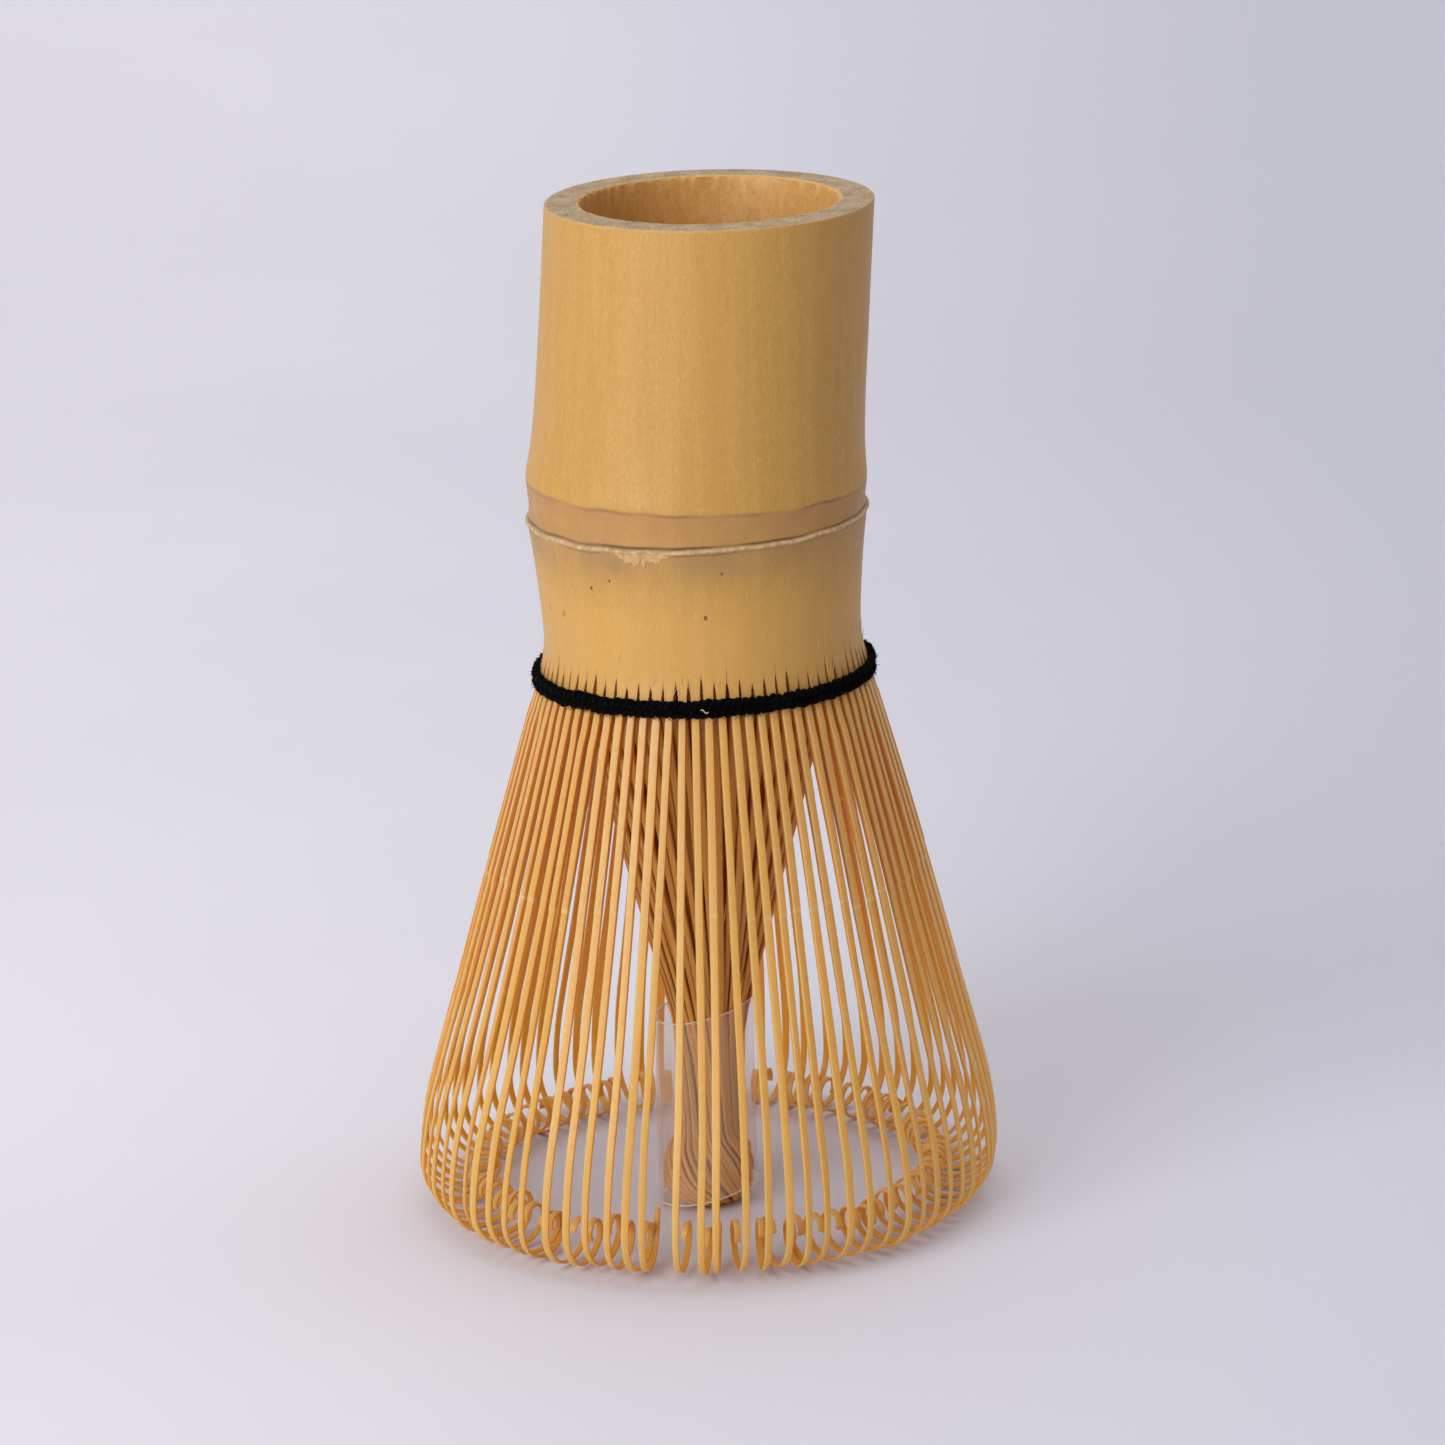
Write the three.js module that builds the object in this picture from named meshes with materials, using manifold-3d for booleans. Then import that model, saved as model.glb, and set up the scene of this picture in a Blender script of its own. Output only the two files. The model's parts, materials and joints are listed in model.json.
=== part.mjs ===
// Bamboo tea whisk (chasen), standing on the curled tips of its tines.
// Millimetres, +Z up, -Y is the front. The origin is on the table under the cage's axis.
//
// One length of bamboo makes the handle and every tine. Its lower end is split into slats, and
// each slat into outer tines, which splay into the cage, and inner tines, which are drawn in to
// a bundle. A black thread holds the two rows apart, and a film sleeve holds the bundle's tips.

import * as THREE from "three";
import { mergeVertices } from "three/addons/utils/BufferGeometryUtils.js";
import Module from "manifold-3d";

const wasm = await Module();
wasm.setup();

// ---- driving dimensions ----

const HEIGHT = 110; // table to the middle of the rim
const GAP = 0.3; // between pieces that touch on the real whisk

const SLATS = 16; // around the culm
const TINES_PER_SLAT = 5; // in each of the two rows
const FIRST_SLAT_DEG = -88.6; // direction of the first slat, seen from +X, close to the front

// The culm: outside radius, then the bore above and below the node's wall.
const RIM_RADIUS = 17.3;
const RIM_BORE = 13.55;
const BULGE_RADIUS = 18.1; // the swelling above the sheath scar
const BULGE_Z = 80.7;
const SCAR_RADIUS = 18.2; // the thin ridge where the sheath grew
const SCAR_Z = 76.4;
const WAIST_RADIUS = 16.93;
const SPLIT_Z = 63.5; // the handle ends here and the slats begin
const SPLIT_BORE = 13.9;
const SEPTUM_TOP_Z = 78.8;
const SEPTUM_BOTTOM_Z = 76.6;

// The thread, an oval band around the outer tines, with a second round between the two rows.
const THREAD_Z = 59.55;
const THREAD_HALF_HEIGHT = 0.8;
const THREAD_HALF_THICKNESS = 0.33;
const INNER_THREAD_RADIUS = 15.5;

// The slats' collars, where the tines of one slat are still one piece.
const COLLAR_TOP_Z = SPLIT_Z - GAP;
const COLLAR_HEIGHT = 2;
const OUTER_COLLAR = { inside: 16.2, outside: 17.05 };
const INNER_COLLAR = { inside: 14.2, outside: 15.5 };
const ROOT_DEPTH = 0.5; // how far below its top a tine starts inside the collar

// Outer tines.
const TINE_WIDTH = 0.8;
const TINE_ROOT_THICKNESS = 0.7;
const TINE_TIP_THICKNESS = 0.35;
const TIP_THICKNESS_Z = 12; // as thin as the tip from here down
const SPLAY_DEG = 16.6; // below the thread, from straight down
const COLLAR_EXIT_Z = COLLAR_TOP_Z - COLLAR_HEIGHT - 0.2;
const COLLAR_EXIT_DEG = 3; // how far the tine leans already where it leaves the collar
const THREAD_LEAN_DEG = 14; // and where the thread crosses it
const THREAD_OFFSET = 0.22; // outwards from the collar's middle, where the thread crosses
const BEND_RADIUS = 17.65; // middle of the tine where the straight part starts
const BEND_Z = 57.6;
const CURL_STATIONS_DEG = [0, 8, 17, 45, 75, 106, 140, 180, 225, 280, 330];
// The curl's radius at each turn in degrees: a slow bend, a round heel, then a tight loop.
const CURL_RADII = [
  [0, 44],
  [10, 40],
  [18, 7],
  [30, 5.1],
  [105, 4.8],
  [150, 3.3],
  [195, 1.8],
  [285, 1.35],
  [420, 0.9],
];

// Inner tines: straight fingers from the collar, which close up into a fan, then into a tight
// bundle that ends in a twisted knob.
const FINGER_WIDTH = 0.5;
const FINGER_THICKNESS = 0.5;
const FAN_THICKNESS = 0.6;
const FAN_SHARE = 0.36; // of the way from the bundle to the collar
const FAN_OVERLAP = 0.03; // share by which the fingers reach into the fan
const FINGER_TOP_Z = COLLAR_TOP_Z - COLLAR_HEIGHT + 0.4;
const BUNDLE_TOP_Z = 23.5;
const BUNDLE_ENTRY = { radius: 3.75, z: BUNDLE_TOP_Z - 0.8 };
const BUNDLE_SPREAD = 0.1; // sideways step between fingers where they enter the bundle
const KNOB_TOP_Z = 10.2;
const LEAN = 0.165; // the bundle and sleeve lean to the front, per millimetre below LEAN_Z
const LEAN_Z = 24;
const KNOB_TWIST_DEG = 60; // from the knob's top to its bottom

// Height, inner radius and outer radius of the bundle. It swells into the knob at the bottom.
const BUNDLE_OUTLINE = [
  [0.4, 2.2, 3.3],
  [1.4, 2.4, 4.3],
  [3, 2.5, 4.85],
  [5, 2.5, 4.95],
  [6.8, 2.4, 4.7],
  [8.4, 2.1, 4],
  [KNOB_TOP_Z, 1.8, 3.45],
  [15, 1.8, 3.35],
  [19.5, 1.9, 3.45],
  [21.5, 2.4, 3.85],
  [22.5, 2.9, 4.1],
  [BUNDLE_TOP_Z, 3.3, 4.3],
];

// The film sleeve, a tube with slanting ends.
const SLEEVE_OUTER = 5.55;
const SLEEVE_WALL = 0.3;
const SLEEVE_BOTTOM_Z = 1.35;
const SLEEVE_HEIGHT = 20;
const SLEEVE_SLANT = 0.22; // rise per millimetre towards +X

// How the grown bamboo departs from a straight upright: [z, sideways shift, rise per mm in X].
const GROWTH = [
  [0, 0, 0],
  [25, 0.65, 0],
  [45, 0.93, 0.006],
  [THREAD_Z, 1.01, 0.016],
  [SPLIT_Z, 0.96, 0.016],
  [70, 0.83, 0.016],
  [SCAR_Z, 0.75, 0.024],
  [BULGE_Z, 0.75, -0.026],
  [96, 1.9, -0.012],
  [HEIGHT, 2.88, 0],
];

// Outline of the culm in radius and height, from the axis under the septum, around the outside,
// and back to the axis on top of the septum.
const CULM_OUTLINE = [
  [0, SEPTUM_BOTTOM_Z],
  [9.5, SEPTUM_BOTTOM_Z - 0.3],
  [12.6, SEPTUM_BOTTOM_Z - 3],
  [13.2, SEPTUM_BOTTOM_Z - 7],
  [SPLIT_BORE, SPLIT_Z],
  [WAIST_RADIUS, SPLIT_Z],
  [17.1, 67.5],
  [17.45, 71.2],
  [17.85, SCAR_Z - 1.2],
  [SCAR_RADIUS - 0.1, SCAR_Z - 0.45],
  [SCAR_RADIUS, SCAR_Z],
  [SCAR_RADIUS - 0.3, SCAR_Z + 0.5],
  [17.88, 78.2],
  [BULGE_RADIUS, BULGE_Z],
  [17.85, 82.8],
  [17.6, 86],
  [17.42, 94],
  [RIM_RADIUS, HEIGHT],
  [RIM_BORE, HEIGHT],
  [13.4, 96],
  [13.1, SEPTUM_TOP_Z + 5],
  [11.8, SEPTUM_TOP_Z + 1.6],
  [8.5, SEPTUM_TOP_Z + 0.4],
  [0, SEPTUM_TOP_Z],
];

const CULM_SIDES = 40;
const THREAD_SIDES = 6;
const THREAD_STEPS = 48;
const SLEEVE_SIDES = 28;

// ---- materials ----

const bamboo = new THREE.MeshStandardMaterial({ color: 0xcfa565, roughness: 0.5, metalness: 0 });
const tineBamboo = new THREE.MeshStandardMaterial({ color: 0xd89f45, roughness: 0.45, metalness: 0 });
const innerBamboo = new THREE.MeshStandardMaterial({ color: 0xb97f3e, roughness: 0.6, metalness: 0 });
const cotton = new THREE.MeshStandardMaterial({ color: 0x0c0c0e, roughness: 0.95, metalness: 0 });
const film = new THREE.MeshStandardMaterial({
  color: 0xe6e2ea,
  roughness: 0.15,
  metalness: 0,
  transparent: true,
  opacity: 0.35,
});

// ---- geometry helpers ----

const radians = THREE.MathUtils.degToRad;
const SLAT_ANGLE = (2 * Math.PI) / SLATS;
const TINE_ANGLE = SLAT_ANGLE / TINES_PER_SLAT;

// Sideways shift and rise of the bamboo at one height, between the rows of GROWTH.
function growthAt(z) {
  const above = GROWTH.findIndex((row) => row[0] >= z);
  if (above === 0) {
    return { shift: GROWTH[0][1], rise: GROWTH[0][2] };
  }
  const high = GROWTH.at(above);
  const low = GROWTH.at(above === -1 ? -2 : above - 1);
  const part = Math.min((z - low[0]) / (high[0] - low[0]), 1);
  return {
    shift: THREE.MathUtils.lerp(low[1], high[1], part),
    rise: THREE.MathUtils.lerp(low[2], high[2], part),
  };
}

// Moves every corner of a straight, upright piece to where the bamboo grew.
function grown(geometry) {
  const corner = geometry.attributes.position;
  for (let i = 0; i < corner.count; i += 1) {
    const { shift, rise } = growthAt(corner.getZ(i));
    corner.setZ(i, corner.getZ(i) + rise * corner.getX(i));
    corner.setX(i, corner.getX(i) + shift);
  }
  return geometry;
}

// Leans the gathered tips and their sleeve to the front.
function leant(geometry) {
  const corner = geometry.attributes.position;
  for (let i = 0; i < corner.count; i += 1) {
    corner.setY(i, corner.getY(i) - LEAN * Math.max(LEAN_Z - corner.getZ(i), 0));
  }
  return geometry;
}

// A bar whose cross-section is a rectangle all the way. place(u, v, t) gives the point for
// u and v from -0.5 to 0.5 across the bar and t from 0 to 1 along it.
function bentBar(steps, place) {
  const bar = new THREE.BoxGeometry(1, 1, 1, 1, 1, steps);
  const corner = bar.attributes.position;
  for (let i = 0; i < corner.count; i += 1) {
    const [x, y, z] = place(corner.getX(i), corner.getY(i), corner.getZ(i) + 0.5);
    corner.setXYZ(i, x, y, z);
  }
  return bar;
}

function solidFrom(geometry) {
  const bare = new THREE.BufferGeometry();
  bare.setAttribute("position", geometry.attributes.position);
  bare.setIndex(geometry.index);
  const merged = mergeVertices(bare);
  return new wasm.Manifold(new wasm.Mesh({
    numProp: 3,
    vertProperties: new Float32Array(merged.attributes.position.array),
    triVerts: new Uint32Array(merged.index.array),
  }));
}

function joined(geometries) {
  const [first, ...others] = geometries.map(solidFrom);
  const mesh = others.reduce((whole, piece) => whole.add(piece), first).getMesh();
  const result = new THREE.BufferGeometry();
  result.setAttribute("position", new THREE.BufferAttribute(mesh.vertProperties, 3));
  result.setIndex(new THREE.BufferAttribute(mesh.triVerts, 1));
  return result;
}

function named(name, geometry, material) {
  geometry.computeVertexNormals();
  const mesh = new THREE.Mesh(geometry, material);
  mesh.name = name;
  return mesh;
}

// A slat's collar, an arc-shaped block with a gap to the next slat's.
function collar({ inside, outside }) {
  const arcSteps = 4;
  return bentBar(arcSteps, (u, v, t) => {
    const radius = (inside + outside) / 2 + u * (outside - inside);
    const halfAngle = SLAT_ANGLE / 2 - Math.asin(GAP / 2 / radius);
    const angle = (2 * t - 1) * halfAngle;
    const z = COLLAR_TOP_Z - COLLAR_HEIGHT / 2 - v * COLLAR_HEIGHT;
    return [radius * Math.cos(angle), radius * Math.sin(angle), z];
  });
}

// ---- outer tines ----

// The curl's radius after a turn, between the rows of CURL_RADII.
function curlRadiusAt(turnDeg) {
  const next = CURL_RADII.findIndex(([turn]) => turn > turnDeg);
  const [fromTurn, fromRadius] = CURL_RADII[next - 1];
  const [toTurn, toRadius] = CURL_RADII[next];
  return THREE.MathUtils.mapLinear(turnDeg, fromTurn, toTurn, fromRadius, toRadius);
}

// The curl's middle line, from its start, turning inwards. heading is measured from straight
// down, outwards; along and down are distances outwards and downwards from the start.
function curlLine() {
  const stations = [];
  const step = radians(1);
  let [along, down] = [0, 0];
  for (let turnDeg = 0; turnDeg <= CURL_STATIONS_DEG.at(-1); turnDeg += 1) {
    const heading = radians(SPLAY_DEG - turnDeg);
    if (CURL_STATIONS_DEG.includes(turnDeg)) {
      stations.push({ along, down, heading });
    }
    const stride = curlRadiusAt(turnDeg + 0.5) * step;
    along += stride * Math.sin(heading - step / 2);
    down += stride * Math.cos(heading - step / 2);
  }
  return stations;
}

// Stations of an outer tine in radius and height, from its root in the collar to the tip.
function tineLine() {
  const curl = curlLine();
  const lowest = Math.max(...curl.map((station) => station.down));
  const curlZ = lowest + TINE_TIP_THICKNESS / 2;
  const curlRadius = BEND_RADIUS + (BEND_Z - curlZ) * Math.tan(radians(SPLAY_DEG));
  const middle = (OUTER_COLLAR.inside + OUTER_COLLAR.outside) / 2;
  return [
    { radius: middle, z: COLLAR_TOP_Z - ROOT_DEPTH, heading: 0 },
    { radius: middle, z: COLLAR_EXIT_Z, heading: radians(COLLAR_EXIT_DEG) },
    { radius: middle + THREAD_OFFSET, z: THREAD_Z, heading: radians(THREAD_LEAN_DEG) },
    { radius: BEND_RADIUS, z: BEND_Z, heading: radians(SPLAY_DEG) },
    ...curl.map(({ along, down, heading }) => (
      { radius: curlRadius + along, z: curlZ - down, heading })),
  ];
}

// Thickness eases from the root's to the tip's along the straight part.
function tineThickness(z) {
  const part = THREE.MathUtils.smoothstep(z, TIP_THICKNESS_Z, BEND_Z);
  return THREE.MathUtils.lerp(TINE_TIP_THICKNESS, TINE_ROOT_THICKNESS, part);
}

function outerTine(line, angle) {
  const steps = line.length - 1;
  return bentBar(steps, (u, v, t) => {
    const { radius, z, heading } = line[Math.round(t * steps)];
    const thick = u * tineThickness(z);
    const out = radius + thick * Math.cos(heading);
    const side = -v * TINE_WIDTH;
    return [
      out * Math.cos(angle) - side * Math.sin(angle),
      out * Math.sin(angle) + side * Math.cos(angle),
      z + thick * Math.sin(heading),
    ];
  });
}

function tineOffsets() {
  const middle = (TINES_PER_SLAT - 1) / 2;
  return Array.from({ length: TINES_PER_SLAT }, (_, i) => i - middle);
}

function outerSlat() {
  const line = tineLine();
  const tines = tineOffsets().map((offset) => outerTine(line, offset * TINE_ANGLE));
  return joined([collar(OUTER_COLLAR), ...tines]);
}

// ---- inner tines ----

// One slat's share of the bundle and knob, a wedge that keeps its gap to its neighbours.
function bundleWedge() {
  const steps = BUNDLE_OUTLINE.length - 1;
  return bentBar(steps, (u, v, t) => {
    const [z, inside, outside] = BUNDLE_OUTLINE[Math.round(t * steps)];
    const radius = (inside + outside) / 2 + u * (outside - inside);
    const side = 2 * v * (radius * Math.sin(SLAT_ANGLE / 2) - GAP / 2);
    const twist = radians(KNOB_TWIST_DEG) * (1 - THREE.MathUtils.smoothstep(z, 0, KNOB_TOP_Z));
    return [
      radius * Math.cos(twist) - side * Math.sin(twist),
      radius * Math.sin(twist) + side * Math.cos(twist),
      z,
    ];
  });
}

// A finger's middle line is straight. share is 0 inside the bundle's top and 1 in the collar.
function fingerPoint(offset, share) {
  const root = (INNER_COLLAR.inside + INNER_COLLAR.outside) / 2;
  const angle = offset * TINE_ANGLE;
  const top = new THREE.Vector3(root * Math.cos(angle), root * Math.sin(angle), FINGER_TOP_Z);
  const bottom = new THREE.Vector3(BUNDLE_ENTRY.radius, offset * BUNDLE_SPREAD, BUNDLE_ENTRY.z);
  return bottom.lerp(top, share);
}

function finger(offset) {
  const start = FAN_SHARE - FAN_OVERLAP;
  return bentBar(1, (u, v, t) => {
    const point = fingerPoint(offset, start + (1 - start) * t);
    return [point.x + u * FINGER_THICKNESS, point.y + v * FINGER_WIDTH, point.z];
  });
}

// Where the five fingers touch each other they are one blade.
function fan() {
  const edge = Math.max(...tineOffsets());
  return bentBar(1, (u, v, t) => {
    const point = fingerPoint(0, FAN_SHARE * t);
    const halfWidth = fingerPoint(edge, FAN_SHARE * t).y + FINGER_WIDTH / 2;
    return [point.x + u * FAN_THICKNESS, 2 * v * halfWidth, point.z];
  });
}

function innerSlat() {
  return joined([collar(INNER_COLLAR), fan(), bundleWedge(), ...tineOffsets().map(finger)]);
}

// ---- culm, thread and sleeve ----

// A profile turned around the Z axis.
function turned(outline, sides) {
  const points = outline.map(([radius, z]) => new THREE.Vector2(radius, z));
  return new THREE.LatheGeometry(points, sides).rotateX(Math.PI / 2);
}

// A ring of thread, oval in section. radius and z are the middle of its section.
function threadRing(radius, z) {
  const ring = new THREE.TorusGeometry(radius, THREAD_HALF_THICKNESS, THREAD_SIDES, THREAD_STEPS);
  ring.scale(1, 1, THREAD_HALF_HEIGHT / THREAD_HALF_THICKNESS);
  return ring.translate(0, 0, z);
}

function sleeve() {
  const inner = SLEEVE_OUTER - SLEEVE_WALL;
  const top = SLEEVE_BOTTOM_Z + SLEEVE_HEIGHT;
  const tube = turned([
    [inner, SLEEVE_BOTTOM_Z],
    [SLEEVE_OUTER, SLEEVE_BOTTOM_Z],
    [SLEEVE_OUTER, top],
    [inner, top],
    [inner, SLEEVE_BOTTOM_Z],
  ], SLEEVE_SIDES);
  const corner = tube.attributes.position;
  for (let i = 0; i < corner.count; i += 1) {
    corner.setZ(i, corner.getZ(i) + SLEEVE_SLANT * corner.getX(i));
  }
  return leant(tube);
}

// ---- assembly ----

function twoDigits(number) {
  return String(number).padStart(2, "0");
}

// The thread lies around the tines' outer faces, which stand a little outside the collar's there.
const outerThreadRadius = OUTER_COLLAR.outside + THREAD_OFFSET + GAP + THREAD_HALF_THICKNESS;
const whisk = new THREE.Group();
whisk.add(named("handle_culm", grown(turned(CULM_OUTLINE, CULM_SIDES)), bamboo));
whisk.add(named("binding_thread", grown(threadRing(outerThreadRadius, THREAD_Z)), cotton));
whisk.add(named("spreader_thread", grown(threadRing(INNER_THREAD_RADIUS, THREAD_Z)), cotton));
whisk.add(named("tip_sleeve", sleeve(), film));

for (let slat = 0; slat < SLATS; slat += 1) {
  const direction = radians(FIRST_SLAT_DEG) + slat * SLAT_ANGLE;
  const number = twoDigits(slat + 1);
  const outer = grown(outerSlat().rotateZ(direction));
  const inner = leant(grown(innerSlat().rotateZ(direction)));
  whisk.add(named(`outer_tines_${number}`, outer, tineBamboo));
  whisk.add(named(`inner_tines_${number}`, inner, innerBamboo));
}

export default whisk;
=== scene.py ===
import json
import math
import random
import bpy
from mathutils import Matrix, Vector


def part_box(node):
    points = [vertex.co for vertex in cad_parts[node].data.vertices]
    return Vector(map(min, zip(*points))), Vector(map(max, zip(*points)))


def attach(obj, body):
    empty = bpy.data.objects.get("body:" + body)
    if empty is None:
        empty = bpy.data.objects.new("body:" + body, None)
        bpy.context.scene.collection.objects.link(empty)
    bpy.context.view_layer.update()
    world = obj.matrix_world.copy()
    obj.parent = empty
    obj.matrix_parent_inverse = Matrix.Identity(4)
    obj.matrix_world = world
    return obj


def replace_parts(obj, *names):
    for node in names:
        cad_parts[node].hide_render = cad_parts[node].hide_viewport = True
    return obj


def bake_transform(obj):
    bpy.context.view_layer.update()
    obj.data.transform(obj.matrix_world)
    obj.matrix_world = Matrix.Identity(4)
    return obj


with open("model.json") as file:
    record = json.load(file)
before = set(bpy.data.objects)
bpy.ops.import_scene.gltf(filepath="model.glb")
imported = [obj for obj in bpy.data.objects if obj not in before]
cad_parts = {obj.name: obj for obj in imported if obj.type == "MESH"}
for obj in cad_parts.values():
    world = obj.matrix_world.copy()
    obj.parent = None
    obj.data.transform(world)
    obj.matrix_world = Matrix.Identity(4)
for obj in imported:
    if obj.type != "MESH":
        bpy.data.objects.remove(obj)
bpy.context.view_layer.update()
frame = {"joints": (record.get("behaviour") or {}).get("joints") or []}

from types import SimpleNamespace

import bmesh
import bpy
import numpy as np
from mathutils import Matrix, Vector

# A bamboo tea whisk: one culm whose end is split into outer and inner tines, a black thread
# between the two rows, and a film sleeve on the gathered tips of the inner ones. Shapes are worked
# out in millimetres in the CAD frame and written to Blender in metres.

MM = 0.001
FRONT = math.radians(-90)  # the side that faces the camera, as a turn about Z from X


def box_mm(node):
    """The two corners of a CAD piece's box, in millimetres."""
    low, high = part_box(node)
    return np.array(low) / MM, np.array(high) / MM


# ---- driving sizes ----

_, culm_high = box_mm("handle_culm")
thread_low, thread_high = box_mm("binding_thread")
sleeve_low, sleeve_high = box_mm("tip_sleeve")

RIM_RADIUS = 17.3
RIM_BORE = 13.55
RIM_Z = culm_high[2]
THREAD_Z = (thread_low[2] + thread_high[2]) / 2
SCAR_Z = 76.4
BULGE_Z = 80.7
RIDGE_HEIGHT = 0.28  # of the scar
GROOVE_DEPTH = 0.12  # above the scar
SEAM_DEPTH = 0.07  # at the top of the stained band
NODE_LOW_Z = 74  # between these two heights the skin has its scar, stained band and bulge
NODE_HIGH_Z = 82.5
BAND_HEIGHT = 3.75  # of the stained band, from the scar to the seam above it
TOOTH_TOP_Z = 66.0  # above every split
TOOTH_THICKNESS = 0.9
SPLIT_Z = (61.3, 62.8)  # where the slits between the tines end, lowest and highest
TOOTH_FOOT_Z = THREAD_Z - 0.45  # the teeth and tines meet here, hidden by the thread
THREAD_DROP = 0.42  # the thread sits this much lower at the sides than in front

SLATS = 16
TINES_PER_SLAT = 5
TINES = SLATS * TINES_PER_SLAT
TINE_ANGLE = 2 * math.pi / TINES
COLUMNS_PER_TINE = 5  # of the handle's faces

# The outer tines. Where there are two values, they are the least and the most.
TINE_WIDTH = (0.76, 0.93)
TINE_THICKNESS = 0.72  # at the top
CURL_SCALE = (0.93, 1.04)
CURL_TURNS_DEG = [375, 390, 400, 412, 424, 436]
CURL_STEP_DEG = 3
OPEN_TURN_DEG = 180  # how far the one tip turns that never curled shut
OPEN_FROM_DEG = 172
OPEN_RADIUS = 25

SPLAY = math.radians(15.75)
SPLAY_Z = 56.5  # the tines are straight from here down to the curl
SPLAY_RADIUS = 18.5  # of their outer faces there
SHAVE_Z = 38.1  # below it the outer faces were shaved thinner
SHAVE_DEPTH = 0.07
FRONT_LIFT = 0.5  # the front curls stand this far off the table

# How tightly a tip curls: degrees turned so far and the radius there. A slow bend, a round heel,
# then a tight loop.
CURL_RADII = np.array([
    [0, 44],
    [10, 40],
    [18, 7],
    [30, 5.1],
    [105, 4.8],
    [150, 3.3],
    [195, 1.9],
    [285, 1.55],
    [440, 1.25],
])

SLEEVE_RADIUS = (sleeve_high[0] - sleeve_low[0]) / 2
SLEEVE_SLANT = 0.22  # rise of its ends per millimetre in X
SLEEVE_TURNS = 1.22  # rolled a little more than once round
SLEEVE_START = math.radians(126)  # the inner end of the roll
SLEEVE_WALL = 0.11
LEAN = 0.165  # the bundle and sleeve lean to the front, per millimetre below LEAN_Z
LEAN_Z = 24
NECK_RADIUS = 4.35  # of the bundle where it enters the sleeve
INNER_ROOT_RADIUS = 14.9
INNER_ROOT_Z = 64.0
LAYERS = (1.0, 0.62, 0.98, 0.3, 0.96)  # how far out each inner tine of a slat lies in the bundle
CONE_POINTS = 16  # along an inner tine, down to the sleeve
BUNDLE_POINTS = 10  # inside the sleeve
KNOB_POINTS = 24  # round the knob

KNOB_MIDDLE_Z = 3.6  # where the knob of gathered tips is widest

# Outline of that knob: z and radius, from the bundle above down to its flat foot.
KNOB = np.array([
    [9.2, 3.35],
    [7.6, 3.55],
    [6.5, 4.25],
    [5.3, 4.75],
    [KNOB_MIDDLE_Z, 5.0],
    [2.2, 4.85],
    [1.1, 4.35],
    [0.45, 3.4],
    [0.25, 1.6],
])

# How the bamboo departs from a straight upright: z, sideways shift, rise per millimetre in X.
GROWTH = np.array([
    [0, 0, 0],
    [25, 0.65, 0],
    [45, 0.93, 0.006],
    [THREAD_Z, 1.01, 0.016],
    [63.5, 0.96, 0.016],
    [70, 0.83, 0.016],
    [SCAR_Z, 0.75, 0.024],
    [BULGE_Z, 0.75, -0.026],
    [96, 1.9, -0.012],
    [RIM_Z, 2.88, 0],
])
GROWTH_AT_THREAD = float(np.interp(THREAD_Z, GROWTH[:, 0], GROWTH[:, 1]))

# Outer face of the culm: z and radius, from just above the slits to the rim.
CULM_SKIN = np.array([
    [63.5, 16.93],
    [65, 16.97],
    [67.9, 17.16],
    [70.8, 17.4],
    [73.6, 17.69],
    [75.6, 17.95],
    [SCAR_Z, 18.02],
    [77.9, 17.87],
    [79.3, 18.0],
    [BULGE_Z, 18.11],
    [82.1, 17.94],
    [83.5, 17.77],
    [86.4, 17.58],
    [90, 17.46],
    [95, 17.41],
    [100, 17.36],
    [RIM_Z, RIM_RADIUS],
])

# The sawn rim with its broken edges: radius, z and share of pale colour on its edges, partly raw
# bamboo and partly a painted highlight.
RIM = [
    (RIM_RADIUS - 0.02, RIM_Z - 0.12, 0.7),
    (RIM_RADIUS - 0.12, RIM_Z - 0.02, 0.4),
    (RIM_RADIUS - 0.35, RIM_Z, 0),
    (16.2, RIM_Z + 0.02, 0),
    (15.0, RIM_Z - 0.02, 0),
    (RIM_BORE + 0.5, RIM_Z, 0),
    (RIM_BORE + 0.18, RIM_Z - 0.02, 1),
    (RIM_BORE + 0.03, RIM_Z - 0.15, 1),
]

# The bore from the rim down to the node's wall: radius and z.
BORE = [
    (RIM_BORE, RIM_Z - 0.5),
    (13.5, 108),
    (13.45, 104),
    (13.4, 98),
    (13.3, 92),
    (13.15, 87),
    (12.95, 83.6),
    (12.4, 81.4),
    (11.2, 80),
    (8.5, 79.2),
    (4, 78.9),
    (0.6, 78.8),
]

# The hollow under the node's wall, down and out to the tops of the teeth: radius and z.
UNDER = [
    (0.6, 76.6),
    (5, 76.5),
    (9.5, 76.3),
    (12, 74.6),
    (12.9, 72),
    (13.3, 69),
    (13.6, TOOTH_TOP_Z),
    (15.2, TOOTH_TOP_Z),
    (16.9, TOOTH_TOP_Z),
]

# Scraps of sheath on the scar: first and last degree right of the front, and how far they hang.
FLAKES = [
    (-29, -7, 1.5),
    (-40, -34, 0.3),
    (12, 19, 0.3),
    (38, 44, 0.4),
    (140, 155, 0.9),
]

INNER_THREAD_RADIUS = 15.55
YARN_POINTS = 1100
LINT_FIBRES = 4200
SPLINTERS = 45

# Degrees by which the tips of the front tines stray from even spacing, from left to right.
FRONT_TIPS = [1.2, 1.2, 0.6, 0.8, 0.3, -1.2, 1.0, 1.5, -0.3, 0.9, 1.2, 0.5, 0, -0.9, -0.5, -0.5, 0]
STRAIGHT_TIP = 5  # the one among them that never curled shut

slat_joints = sorted(
    (joint for joint in frame["joints"] if joint["type"] == "hinge"),
    key=lambda joint: joint["name"])
rng = random.Random(11)


# ---- shape helpers ----

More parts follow.
